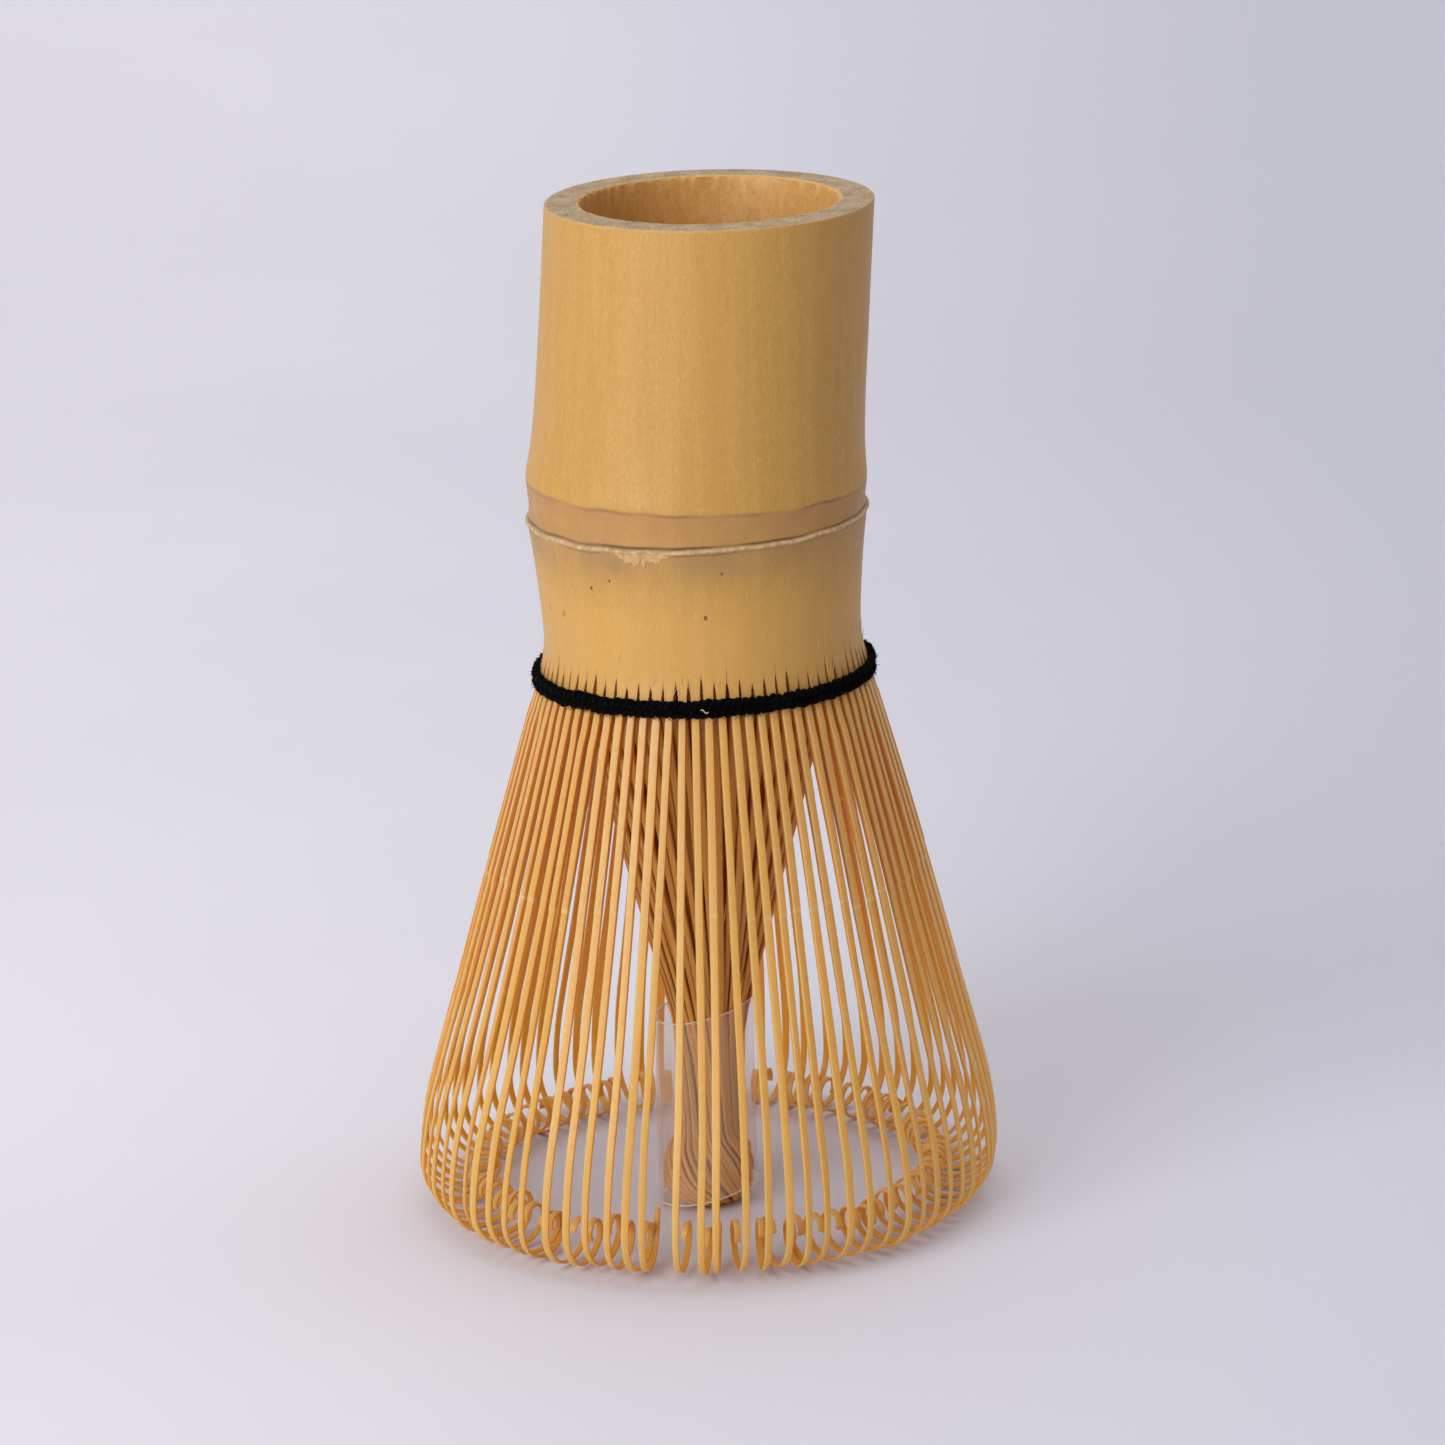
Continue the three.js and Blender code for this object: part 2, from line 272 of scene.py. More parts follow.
def grown(points):
    """Moves points of an upright whisk to where the bamboo grew."""
    shift = np.interp(points[..., 2], GROWTH[:, 0], GROWTH[:, 1])
    rise = np.interp(points[..., 2], GROWTH[:, 0], GROWTH[:, 2])
    moved = points.copy()
    moved[..., 2] += rise * points[..., 0]
    moved[..., 0] += shift
    return moved


def leant(points):
    """Leans the gathered tips and their sleeve to the front."""
    moved = points.copy()
    moved[..., 1] -= LEAN * np.maximum(LEAN_Z - points[..., 2], 0)
    return moved


def polar(radius, angle, z):
    """Points at a radius, a direction and a height, each a number or an array."""
    return np.stack(np.broadcast_arrays(radius * np.cos(angle), radius * np.sin(angle), z), -1)


def directions(angle):
    """Unit vectors outwards and sideways at an angle, which may be an array."""
    level = 0 * angle
    out = np.stack([np.cos(angle), np.sin(angle), level], -1)
    side = np.stack([-np.sin(angle), np.cos(angle), level], -1)
    return out, side


def unit(vectors):
    return vectors / np.linalg.norm(vectors, axis=-1, keepdims=True)


def cubic(t, width, start, start_slope, end, end_slope):
    """A cubic curve over a width, from one height and slope at t = 0 to another at t = 1."""
    return (
        (2 * t**3 - 3 * t**2 + 1) * start
        + (t**3 - 2 * t**2 + t) * width * start_slope
        + (-2 * t**3 + 3 * t**2) * end
        + (t**3 - t**2) * width * end_slope
    )


def smooth_line(at, xs, ys):
    """A smooth curve through the points (xs, ys), read at the places at."""
    slopes = np.gradient(ys, xs)
    i = np.clip(np.searchsorted(xs, at) - 1, 0, len(xs) - 2)
    width = xs[i + 1] - xs[i]
    t = np.clip((at - xs[i]) / width, 0, 1)
    return cubic(t, width, ys[i], slopes[i], ys[i + 1], slopes[i + 1])


def smoothstep(low, high, x):
    """0 up to low, 1 from high, and an eased rise between them."""
    t = np.clip((x - low) / (high - low), 0, 1)
    return t * t * (3 - 2 * t)


def hump(distance, width):
    """1 at distance 0, fading to nothing within about two widths."""
    return np.exp(-(distance / width) ** 2)


def ripple(angle, seed, waves=9, first=2):
    """A wavy line around a ring, within about -1 to 1. first is the count of its longest waves."""
    source = random.Random(seed)
    total = np.zeros_like(angle)
    for k in range(first, first + waves):
        total += source.uniform(0.3, 1) * np.sin(k * angle + source.uniform(0, 2 * math.pi))
    return total / math.sqrt(waves)


class Shell:
    """The faces of one piece, gathered in millimetres. Each of its marks is a number per point,
    which its material reads."""

    def __init__(self, *marks):
        self.points, self.faces, self.materials = [], [], []
        self.marks = {mark: [] for mark in marks}
        self.count = 0

    def grid(self, rows, ring=True, caps=True, around=False, material=0, **marks):
        """Joins rows of points with faces. ring closes each row on itself, caps fills the first
        and last row, and around joins the last row to the first. material is a slot number, or
        one per row."""
        rows = np.asarray(rows, float)
        n, k = rows.shape[:2]
        index = self.count + np.arange(n * k).reshape(n, k)
        self.points.append(rows.reshape(-1, 3))
        self.count += n * k
        for mark, values in self.marks.items():
            given = np.broadcast_to(np.asarray(marks.get(mark, 0.0), float), (n, k))
            values.append(given.ravel())
        materials = np.broadcast_to(material, (n,))
        for i in range(n if around else n - 1):
            here, there = index[i], index[(i + 1) % n]
            for j in range(k if ring else k - 1):
                m = (j + 1) % k
                self.faces.append((here[j], here[m], there[m], there[j]))
                self.materials.append(materials[i])
        if caps:
            self.faces.append(tuple(index[0][::-1]))
            self.faces.append(tuple(index[-1]))
            self.materials += [materials[0], materials[-1]]

    def piece(self, name, *materials, crease_deg=38):
        """The Blender object, its faces turned outwards and smooth up to the crease angle."""
        mesh = bpy.data.meshes.new(name)
        mesh.from_pydata((np.concatenate(self.points) * MM).tolist(), [], self.faces)
        for material in materials:
            mesh.materials.append(material)
        mesh.polygons.foreach_set("material_index", np.array(self.materials, np.int32))
        mesh.polygons.foreach_set("use_smooth", np.ones(len(mesh.polygons), bool))
        for mark, values in self.marks.items():
            layer = mesh.attributes.new(mark, "FLOAT", "POINT")
            layer.data.foreach_set("value", np.concatenate(values).astype(np.float32))
        shape = bmesh.new()
        shape.from_mesh(mesh)
        bmesh.ops.recalc_face_normals(shape, faces=shape.faces)
        shape.to_mesh(mesh)
        shape.free()
        mesh.set_sharp_from_angle(angle=math.radians(crease_deg))
        mesh.validate()
        obj = bpy.data.objects.new(name, mesh)
        bpy.context.scene.collection.objects.link(obj)
        return obj


def sweep(path, side, normal, width, thickness, chamfer=0.06):
    """Rings of a strip with a chamfered rectangular section. path is the middle of its outer
    face, normal points out of that face and side lies across it."""
    w = np.asarray(width, float)[:, None] / 2
    t = np.asarray(thickness, float)[:, None]
    c = np.minimum(chamfer, t / 3)
    corners = [
        (-w, -c), (-w + c, 0 * t), (w - c, 0 * t), (w, -c),
        (w, -t + c), (w - c, -t), (-w + c, -t), (-w, -t + c),
    ]
    return np.stack([path + a * side + b * normal for a, b in corners], axis=1)


def tube(path, radius, sides, around=False):
    """Rings of a round tube along a path that stays clear of the axis. radius is a number or one
    per point, and around is for a path that ends where it starts."""
    if around:
        ahead = np.roll(path, -1, axis=0) - np.roll(path, 1, axis=0)
    else:
        ahead = np.gradient(path, axis=0)
    ahead = unit(ahead)
    out = unit(path * [1, 1, 0])
    out = unit(out - (out * ahead).sum(1, keepdims=True) * ahead)
    up = np.cross(ahead, out)
    turn = np.linspace(0, 2 * math.pi, sides, endpoint=False)[:, None]
    size = np.broadcast_to(np.asarray(radius, float), (len(path),))[:, None, None]
    ring = np.cos(turn) * out[:, None] + np.sin(turn) * up[:, None]
    return path[:, None] + size * ring


# ---- material helpers ----

class Material:
    """A node material with short calls for the nodes used here."""

    def __init__(self, name):
        self.block = bpy.data.materials.new(name)
        self.block.use_nodes = True
        self.tree = self.block.node_tree
        self.tree.nodes.clear()
        self.output = self.tree.nodes.new("ShaderNodeOutputMaterial")
        self.place = self.tree.nodes.new("ShaderNodeTexCoord").outputs["Object"]

    def node(self, kind, inputs=(), **settings):
        """A new node. An input given as a socket is linked, and any other is set."""
        made = self.tree.nodes.new("ShaderNode" + kind)
        for key, value in settings.items():
            setattr(made, key, value)
        for key, value in dict(inputs).items():
            if isinstance(value, bpy.types.NodeSocket):
                self.tree.links.new(value, made.inputs[key])
            else:
                made.inputs[key].default_value = value
        return made

    def stretched(self, x, y, z):
        """The place in the object with each axis scaled by its own factor."""
        return self.node("Mapping", {"Vector": self.place, "Scale": (x, y, z)}).outputs["Vector"]

    def noise(self, scale, detail, roughness):
        return self.noise_at(self.place, scale, detail, roughness)

    def noise_at(self, vector, scale, detail, roughness):
        inputs = {"Vector": vector, "Scale": scale, "Detail": detail, "Roughness": roughness}
        return self.node("TexNoise", inputs).outputs["Fac"]

    def grain(self, across, along, detail, roughness):
        """Noise drawn out along the bamboo, by its scale across the fibres and along them."""
        return self.noise_at(self.stretched(across, across, along), 1, detail, roughness)

    def axis(self, name):
        """One coordinate of the place in the object, in metres."""
        return self.node("SeparateXYZ", {"Vector": self.place}).outputs[name]

    def mark(self, name):
        """The numbers that the shape carries under this name."""
        return self.node("Attribute", attribute_name=name).outputs["Fac"]

    def math(self, operation, a, b=0.0):
        return self.node("Math", {0: a, 1: b}, operation=operation).outputs[0]

    def span(self, value, low, high, to_low=0.0, to_high=1.0):
        """value from low..high to to_low..to_high, smoothly and no further."""
        inputs = {"Value": value, "From Min": low, "From Max": high}
        inputs.update({"To Min": to_low, "To Max": to_high})
        return self.node("MapRange", inputs, interpolation_type="SMOOTHSTEP").outputs["Result"]

    def mix(self, share, a, b):
        """Colour a changed towards b by share."""
        made = self.node("Mix", data_type="RGBA")
        for socket, value in ((made.inputs[0], share), (made.inputs[6], a), (made.inputs[7], b)):
            if isinstance(value, bpy.types.NodeSocket):
                self.tree.links.new(value, socket)
            elif isinstance(value, tuple):
                socket.default_value = (*value, 1)
            else:
                socket.default_value = value
        return made.outputs[2]

    def bump(self, height, strength, distance, below=None):
        """A surface roughened by height, on top of the roughness below if there is one."""
        inputs = {"Height": height, "Strength": strength, "Distance": distance}
        if below is not None:
            inputs["Normal"] = below
        return self.node("Bump", inputs).outputs["Normal"]

    def principled(self, **inputs):
        """Ends the material with its shader. Base_Color stands for the input Base Color."""
        named = {key.replace("_", " "): value for key, value in inputs.items()}
        shader = self.node("BsdfPrincipled", named)
        self.tree.links.new(shader.outputs[0], self.output.inputs["Surface"])
        return self.block


def clean_skin(m, fibres):
    """Pale gold bamboo with fibres, dark and pale pores, and broad clouds of tan."""
    pores = m.grain(4200, 1500, 3, 0.7)
    streaks = m.grain(700, 14, 3, 0.5)
    clouds = m.noise(55, 4, 0.6)
    colour = m.mix(m.span(streaks, 0.3, 0.75), (0.57, 0.313, 0.071), (0.612, 0.343, 0.087))
    colour = m.mix(m.span(fibres, 0.45, 0.8, 0, 0.32), colour, (0.50, 0.265, 0.065))
    colour = m.mix(m.span(pores, 0.52, 0.72, 0, 0.5), colour, (0.46, 0.25, 0.065))
    colour = m.mix(m.span(pores, 0.46, 0.3, 0, 0.3), colour, (0.78, 0.50, 0.17))
    return m.mix(m.span(clouds, 0.52, 0.8, 0, 0.4), colour, (0.60, 0.34, 0.105))


def stained_skin(m, colour):
    """Tan over the stained band and, as painted shade, on the teeth's sides along the slits; grey
    brown blotches around the scar.
    """
    breakup = m.span(m.noise(320, 5, 0.7), 0.3, 0.7)
    uneven = m.math("ADD", m.math("MULTIPLY", breakup, 0.4), 0.6)
    colour = m.mix(m.math("MULTIPLY", m.mark("stain"), uneven), colour, (0.44, 0.215, 0.085))
    blotches = m.span(m.noise(95, 4, 0.65), 0.4, 0.68, 0.15, 0.6)
    return m.mix(m.math("MULTIPLY", m.mark("mottle"), blotches), colour, (0.30, 0.185, 0.092))


def specked_skin(m, colour):
    """Paler towards the slits, with a few dark specks between them and the scar."""
    height = m.axis("Z")
    colour = m.mix(m.span(height, 73.5 * MM, 67 * MM, 0, 0.4), colour, (0.74, 0.41, 0.10))
    inputs = {"Vector": m.stretched(600, 600, 420), "Scale": 1.0}
    dots = m.node("TexVoronoi", inputs).outputs
    chosen = m.node("SeparateColor", {"Color": dots["Color"]}).outputs[0]
    dot = m.math("LESS_THAN", dots["Distance"], m.span(chosen, 0.45, 1.0, 0.0, 0.16))
    dot = m.math("MULTIPLY", dot, m.span(height, 75.5 * MM, 74.5 * MM, 0, 0.85))
    dot = m.math("MULTIPLY", dot, m.span(height, 66.5 * MM, 70 * MM))
    return m.mix(dot, colour, (0.07, 0.03, 0.01))


def bamboo_skin():
    """The culm's outside: satin, pale gold, with fine upright fibres, stained at the node."""
    m = Material("bamboo_skin")
    fibres = m.grain(4200, 260, 4, 0.6)
    colour = specked_skin(m, stained_skin(m, clean_skin(m, fibres)))
    # Near black along the groove above the ridge, the crease below it and the seam above the band.
    colour = m.mix(m.mark("dark_lines"), colour, (0.05, 0.028, 0.015))
    crumbs = m.span(m.noise(1500, 3, 0.7), 0.35, 0.65)
    lip = m.mix(crumbs, (0.46, 0.29, 0.145), (0.72, 0.51, 0.28))
    colour = m.mix(m.mark("ridge"), colour, lip)
    # Pale along the rim's outer edge: partly raw bamboo, partly a painted highlight.
    colour = m.mix(m.mark("raw_and_highlight"), colour, (0.62, 0.36, 0.13))
    rough = m.span(fibres, 0.3, 0.8, 0.40, 0.56)
    normal = m.bump(fibres, 0.10, 0.0002)
    normal = m.bump(m.noise(900, 3, 0.6), 0.05, 0.0003, normal)
    return m.principled(Base_Color=colour, Roughness=rough, Normal=normal, Specular_IOR_Level=0.36)


def end_grain():
    """The sawn rim: grey tan, dotted with the dark ends of the fibres."""
    m = Material("bamboo_end_grain")
    inputs = {"Vector": m.place, "Scale": 2600.0, "Randomness": 1.0}
    dots = m.node("TexVoronoi", inputs, feature="F1").outputs["Distance"]
    speck = m.span(dots, 0.16, 0.34, 1, 0)
    clouds = m.noise(420, 4, 0.6)
    colour = m.mix(m.span(clouds, 0.3, 0.7), (0.37, 0.275, 0.165), (0.51, 0.40, 0.26))
    colour = m.mix(m.math("MULTIPLY", speck, 0.75), colour, (0.13, 0.085, 0.045))
    # Pale along both edges of the rim: partly raw bamboo, partly a painted highlight.
    colour = m.mix(m.mark("raw_and_highlight"), colour, (0.64, 0.41, 0.17))
    normal = m.bump(dots, 0.35, 0.0002)
    normal = m.bump(m.noise(2400, 4, 0.7), 0.3, 0.0002, normal)
    return m.principled(Base_Color=colour, Roughness=0.9, Normal=normal, Specular_IOR_Level=0.06)


def inner_wall():
    """The inside of the culm: smooth, orange tan, with soft upright streaks."""
    m = Material("bamboo_inner_wall")
    streaks = m.grain(1300, 420, 4, 0.6)
    grains = m.grain(2600, 1900, 3, 0.7)
    clouds = m.noise(130, 5, 0.65)
    colour = m.mix(m.span(streaks, 0.3, 0.7), (0.63, 0.34, 0.095), (0.70, 0.41, 0.135))
    colour = m.mix(m.span(grains, 0.5, 0.7, 0, 0.5), colour, (0.44, 0.215, 0.05))
    colour = m.mix(m.span(clouds, 0.5, 0.75, 0, 0.45), colour, (0.49, 0.25, 0.065))
    normal = m.bump(streaks, 0.25, 0.0003)
    return m.principled(Base_Color=colour, Roughness=0.55, Normal=normal)


def tine_bamboo(name, pale, deep, tan, dark, roughness):
    """Shaved strips, each with its own tone, fibres along it and painted shade on their sides. The
    mark root blends in the tan: above the shaving of an outer tine, or inside the sleeve on an
    inner one."""
    m = Material(name)
    fibres = m.grain(3800, 60, 4, 0.65)
    patches = m.grain(300, 60, 3, 0.6)
    colour = m.mix(m.mark("tone"), pale, deep)
    colour = m.mix(m.mark("root"), colour, tan)
    colour = m.mix(m.span(fibres, 0.45, 0.8, 0, 0.3), colour, dark)
    colour = m.mix(m.span(patches, 0.5, 0.75, 0, 0.3), colour, pale)
    colour = m.mix(m.mark("shade"), colour, dark)
    # The mark pale: the pale cut at the shaving, and a painted highlight along one top edge of each
    # outer tine.
    colour = m.mix(m.mark("pale"), colour, (0.86, 0.62, 0.30))
    rough = m.span(fibres, 0.3, 0.8, roughness - 0.08, roughness + 0.1)
    normal = m.bump(fibres, 0.2, 0.00015)
    return m.principled(
        Base_Color=colour, Roughness=rough, Normal=normal,
        Subsurface_Weight=0.5, Subsurface_Radius=(0.004, 0.0016, 0.0004), Subsurface_Scale=1.0)


def black_cotton():
    """Matt black with a trace of lint."""
    m = Material("black_cotton")
    lint = m.noise(5200, 4, 0.7)
    colour = m.mix(m.span(lint, 0.5, 0.8), (0.0006, 0.0006, 0.0008), (0.006, 0.006, 0.007))
    normal = m.bump(lint, 0.5, 0.0002)
    return m.principled(
        Base_Color=colour, Roughness=0.9, Normal=normal,
        Sheen_Weight=0.02, Sheen_Roughness=0.5, Specular_IOR_Level=0.06)


def clear_film():
    """Thin film: a warm haze face on, milkier where it turns away or ends."""
    m = Material("clear_film")
    facing = m.node("LayerWeight", {"Blend": 0.35}).outputs["Facing"]
    haze = m.noise_at(m.stretched(1, 1, 0.25), 420, 3, 0.6)
    alpha = m.span(facing, 0.5, 1.0, 0.10, 0.30)
    alpha = m.math("ADD", alpha, m.span(haze, 0.4, 0.75, 0.0, 0.05))
    alpha = m.math("MAXIMUM", alpha, m.math("MULTIPLY", m.mark("edge"), 0.7))
    colour = m.mix(m.mark("edge"), (0.98, 0.78, 0.60), (0.98, 0.84, 0.76))
    normal = m.bump(haze, 0.15, 0.0004)
    return m.principled(
        Base_Color=colour, Roughness=0.12, Normal=normal, Alpha=alpha, Specular_IOR_Level=0.6)


def loose_fibre():
    """Pale tan, for splinters and the fibre caught in the thread."""
    m = Material("loose_fibre")
    lint = m.noise(3000, 2, 0.5)
    colour = m.mix(lint, (0.60, 0.42, 0.20), (0.78, 0.60, 0.36))
    return m.principled(Base_Color=colour, Roughness=0.8, Normal=m.bump(lint, 0.2, 0.0001))


# ---- handle ----

def tine_skin(z):
    """Radius of the tines' outer faces: an eased bend from the split to SPLAY_Z, then straight."""
    top_z, top = CULM_SKIN[0]
    drop = top_z - SPLAY_Z
    t = np.clip((top_z - z) / drop, 0, 1)
    eased = cubic(t, drop, top, 0, SPLAY_RADIUS, math.tan(SPLAY))
    return eased + np.maximum(SPLAY_Z - z, 0) * math.tan(SPLAY)


def culm_skin(z):
    """Radius of the bamboo's outer face at any height, tines included."""
    skin = smooth_line(z, CULM_SKIN[:, 0], CULM_SKIN[:, 1])
    return np.where(z > CULM_SKIN[0, 0], skin, tine_skin(z))


def scar_line(angle):
    """Height of the sheath scar around the culm."""
    return SCAR_Z + 0.15 + 0.07 * ripple(angle, 3, 20, 5)


def culm_rows():
    """Heights of the culm's outer rows, close together where the node needs detail."""
    return np.concatenate([
        np.linspace(TOOTH_TOP_Z, NODE_LOW_Z, 12, endpoint=False),
        np.linspace(NODE_LOW_Z, NODE_HIGH_Z, 72, endpoint=False),
        np.linspace(NODE_HIGH_Z, RIM_Z - 0.35, 24),
    ])


def culm_face(angle):
    """Rows of the culm's outer face with its scar, groove and seam, and its marks."""
    z, angle = np.meshgrid(culm_rows(), angle, indexing="ij")
    above = z - scar_line(angle)
    step = above - BAND_HEIGHT - 0.06 * ripple(angle, 8, 24, 6)
    ridge = hump(above, 0.22)
    groove = hump(above - 0.37, 0.13) * np.clip(0.85 + 0.4 * ripple(angle, 52, 18, 3), 0.3, 1)
    crease = hump(above + 0.36, 0.13) * np.clip(0.5 + ripple(angle, 51, 12), 0, 1)
    seam = hump(step, 0.17) * np.clip(0.6 + 0.5 * ripple(angle, 53, 14), 0.15, 1)
    radius = culm_skin(z) + RIDGE_HEIGHT * ridge - GROOVE_DEPTH * groove - SEAM_DEPTH * seam
    radius += 0.03 * ripple(angle, 5) * smoothstep(70, 84, z)

    band = smoothstep(0, 0.5, above) * (1 - smoothstep(-0.15, 0.25, step))
    band *= 0.72 + 0.28 * smoothstep(-2.5, 0, step)
    below = (1 - smoothstep(-0.3, 0.0, above)) * smoothstep(-6.5 - ripple(angle, 6), -0.4, above)
    left = 0.35 + 0.65 * np.clip(np.cos(angle - FRONT + math.radians(55)), 0, 1)
    marks = {
        "stain": np.clip(0.74 * band + 0.3 * below + 0.5 * seam, 0, 1),
        "mottle": np.clip((hump(above + 0.9, 2.2) + 0.3 * below) * left, 0, 1),
        "ridge": np.clip(1.15 * ridge, 0, 1),
        # Near black along the groove above the ridge, the crease below it and the seam.
        "dark_lines": np.clip(groove + 0.5 * crease + 0.3 * seam, 0, 0.85),
    }
    return polar(radius, angle, z), marks


def rings(outline, angle, seed=0, wobble=0.0):
    """A ring of points for each radius and height of an outline, wavy by about the wobble."""
    rows = []
    for radius, z, *_ in outline:
        wavy = radius + wobble * ripple(angle, seed) * min(1, radius / 5)
        rows.append(polar(wavy, angle, z))
    return np.array(rows)


def rim_rings(angle):
    """The sawn rim, chipped along its inner edge."""
    rows = rings(RIM, angle)
    chips = np.clip(ripple(angle, 77, 60, 14) + 0.1, 0, 1.5)
    rows[-2:, :, :2] *= (1 + 0.014 * chips)[:, None]
    rows[-1, :, 2] -= 0.12 * chips
    return rows


def build_handle(skin, grain, wall):
    """The culm, from the hollow under its node out over the skin and rim and down the bore."""
    angle = np.linspace(-math.pi, math.pi, TINES * COLUMNS_PER_TINE, endpoint=False)
    face, marks = culm_face(angle)
    parts = [rings(UNDER, angle, 14, 0.02), face, rim_rings(angle), rings(BORE, angle, 12, 0.07)]
    rows = np.concatenate(parts)
    skin_start, rim_start, bore_start = np.cumsum([len(part) for part in parts[:3]])

    def on_rows(start, end, values):
        """One number per point: the values on rows start to end, and 0 on the others."""
        whole = np.zeros(rows.shape[:2])
        whole[start:end] = values
        return whole

    marks = {mark: on_rows(skin_start, rim_start, values) for mark, values in marks.items()}
    marks["raw_and_highlight"] = on_rows(rim_start, bore_start, np.array([raw_and_highlight for _, _, raw_and_highlight in RIM])[:, None])
    skin_slot, grain_slot, wall_slot = range(3)
    material = np.full(len(rows), wall_slot)
    material[skin_start:rim_start] = skin_slot
    material[rim_start:bore_start - 1] = grain_slot

    shell = Shell("stain", "mottle", "dark_lines", "ridge", "raw_and_highlight")
    shell.grid(grown(rows), material=material, **marks)
    add_teeth(shell)
    add_flakes(shell)
    obj = shell.piece("bamboo_handle", skin, grain, wall)
    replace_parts(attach(obj, "handle"), "handle_culm")


def draw_slits():
    """Draws the slits between the teeth by chance. Returns the function that measures them."""
    def crack_length():
        """How far a hairline crack runs on above a slit. One in five is long."""
        return rng.uniform(1.2, 2.6) if rng.random() < 0.2 else rng.uniform(0.2, 0.9)

    apex = [rng.uniform(*SPLIT_Z) for _ in range(TINES)]
    crack_top = [z + crack_length() for z in apex]
    gap = [rng.uniform(0.4, 0.78) for _ in range(TINES)]
    ragged = [rng.uniform(0, 6) for _ in range(TINES)]

    def slit(i, z):
        """Half the width of slit i at height z."""
        i = i % TINES
        wedge = np.clip((apex[i] - z) / (apex[i] - TOOTH_FOOT_Z), 0, 1) ** 0.62 * gap[i]
        wedge *= 1 + 0.22 * np.sin(z * 9 + ragged[i]) * np.sin(z * 23 + 2 * ragged[i])
        hairline = 0.06 * (1 - smoothstep(apex[i], crack_top[i], z))
        return (wedge + hairline) / 2 * (z < TOOTH_TOP_Z - 0.3)

    return slit


def add_teeth(shell):
    """The outer tines' roots, parted by slits that widen towards the thread."""
    slit = draw_slits()
    z = np.concatenate([
        np.linspace(TOOTH_TOP_Z, CULM_SKIN[0, 0], 6, endpoint=False),
        np.linspace(CULM_SKIN[0, 0], TOOTH_FOOT_Z, 30)])
    radius = culm_skin(z)
    half = radius * TINE_ANGLE / 2
    across = np.linspace(-1, 1, COLUMNS_PER_TINE)
    edges = np.abs(np.tile(across, 2)) > 0.9
    # Painted shade: the teeth's sides along the slits darken towards the thread.
    dark = 0.9 * (1 - smoothstep(61.2, 63.8, z))[:, None] * edges
    for i in range(TINES):
        right = (half - slit(i + 1, z))[:, None]
        left = (half - slit(i, z))[:, None]
        offsets = np.where(across > 0, across * right, across * left)
        front = tine_angle(i) + offsets / radius[:, None]
        lift = 0.12 * rng.uniform(-0.5, 1) * smoothstep(63, TOOTH_FOOT_Z, z)
        outside = (radius + lift)[:, None]
        outer = polar(outside, front, z[:, None])
        inner = polar(outside - TOOTH_THICKNESS, front[:, ::-1], z[:, None])
        shell.grid(grown(np.concatenate([outer, inner], axis=1)), stain=dark)


def add_flakes(shell):
    """Torn scraps of the sheath hanging from the scar: one large one at the front left."""
    columns = 28
    t = np.linspace(0, 1, columns)
    for start, end, drop in FLAKES:
        turn = np.radians(np.linspace(start, end, columns))
        angle = (FRONT + turn + math.pi) % (2 * math.pi) - math.pi
        lobe = np.sin(math.pi * t**0.75) ** 0.8
        torn = 0.85 + 0.35 * ripple(turn * 22, end + 60)
        hang = np.clip(drop * lobe * torn, 0.02, None)
        rows = []
        for share in np.linspace(0, 1, 6):
            z = scar_line(angle) - share * hang
            lift = 0.17 - 0.11 * share + 0.03 * ripple(turn * 30 + share * 9, end + 70)
            rows.append(polar(culm_skin(z) + lift, angle, z))
        inner = [row * [0.986, 0.986, 1] for row in rows[::-1]]
        shell.grid(
            grown(np.array(rows + inner)), ring=False, caps=False, around=True,
            ridge=0.55, mottle=0.2)


# ---- outer tines ----

def tine_angle(i):
    """Direction of outer tine i, counted around from the first tine of the first slat."""
    slat, place = divmod(i, TINES_PER_SLAT)
    x, y, _ = slat_joints[slat]["pos_m"]
    middle = math.atan2(y, x - GROWTH_AT_THREAD * MM)
    return middle + (place - (TINES_PER_SLAT - 1) / 2) * TINE_ANGLE


def curl(turn_deg, scale, opened):
    """The line of a tip that turns inwards: distances outwards and downwards, and headings from
    straight down. An opened one runs on almost straight after half a turn."""
    degree = math.radians(1)
    turned = np.arange(0, turn_deg + 1)
    radius = scale * np.interp(turned, CURL_RADII[:, 0], CURL_RADII[:, 1])
    if opened:
        radius[turned > OPEN_FROM_DEG] = OPEN_RADIUS
    heading = SPLAY - turned * degree
    stride = radius[1:] * degree
    middle = (heading[1:] + heading[:-1]) / 2
    out = np.concatenate([[0], np.cumsum(stride * np.sin(middle))])
    down = np.concatenate([[0], np.cumsum(stride * np.cos(middle))])
    return out[::CURL_STEP_DEG], down[::CURL_STEP_DEG], heading[::CURL_STEP_DEG]


